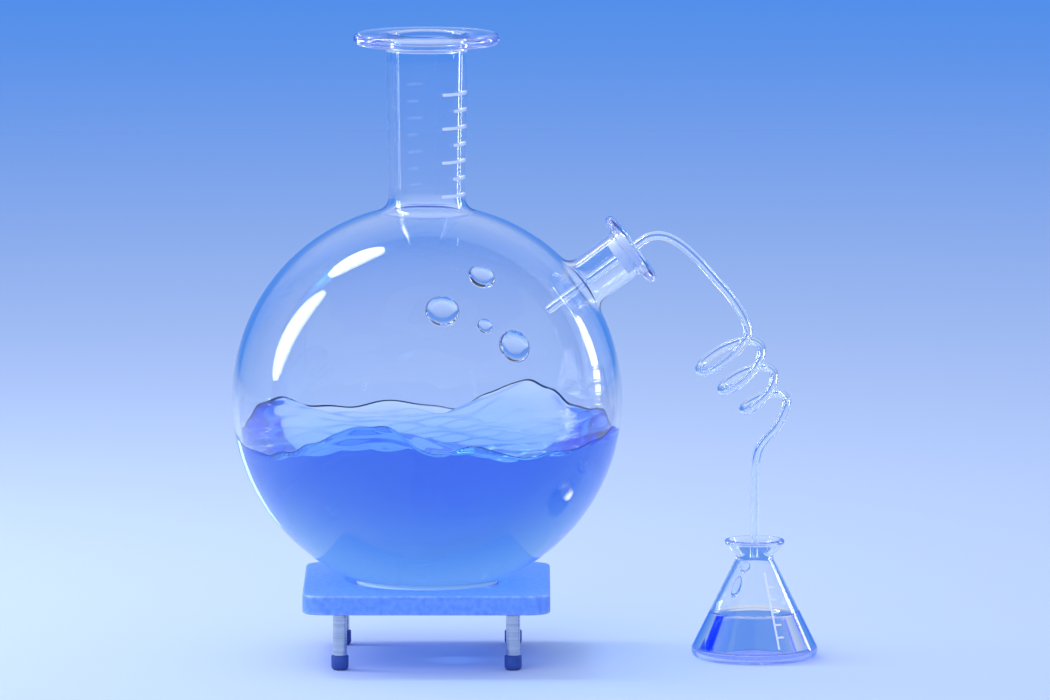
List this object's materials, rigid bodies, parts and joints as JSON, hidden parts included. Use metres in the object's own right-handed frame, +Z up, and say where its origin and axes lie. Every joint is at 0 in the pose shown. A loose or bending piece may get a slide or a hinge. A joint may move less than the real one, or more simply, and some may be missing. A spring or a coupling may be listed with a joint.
{
  "type": "distillation flask set",
  "caption": "Round-bottomed side-arm flask on a low stand, joined by a coiled glass delivery tube to a small conical receiving flask.",
  "frame": {"origin": "the middle of the set's box at the level of the surface it stands on", "axes": "+Z up, +X from the round flask towards the receiving flask, +Y away from the picture's viewer"},
  "size_m": [0.1968, 0.131, 0.2108],
  "materials": {
    "glass": "gloss",
    "liquid": "gloss",
    "silicone": "satin",
    "coated_metal": "satin",
    "steel": "satin",
    "foot_rubber": "matte"
  },
  "bodies": {
    "root": {"flask_bulb_lower": "glass", "flask_bulb_upper": "glass", "flask_neck": "glass", "flask_neck_rim": "glass", "flask_side_arm": "glass", "flask_side_arm_rim": "glass", "flask_liquid": "liquid", "arm_bung": "silicone", "delivery_tube_inlet": "glass", "delivery_tube_bend": "glass", "delivery_coil_turn_1": "glass", "delivery_coil_turn_2": "glass", "delivery_coil_turn_3": "glass", "delivery_tube_outlet": "glass", "delivery_tube_drop": "glass", "receiver_body": "glass", "receiver_mouth": "glass", "receiver_liquid": "liquid", "stand_plate": "coated_metal", "stand_seat_pad": "silicone", "stand_leg_1": "steel", "stand_leg_2": "steel", "stand_leg_3": "steel", "stand_leg_4": "steel", "stand_foot_1": "foot_rubber", "stand_foot_2": "foot_rubber", "stand_foot_3": "foot_rubber", "stand_foot_4": "foot_rubber"}
  },
  "joints": []
}
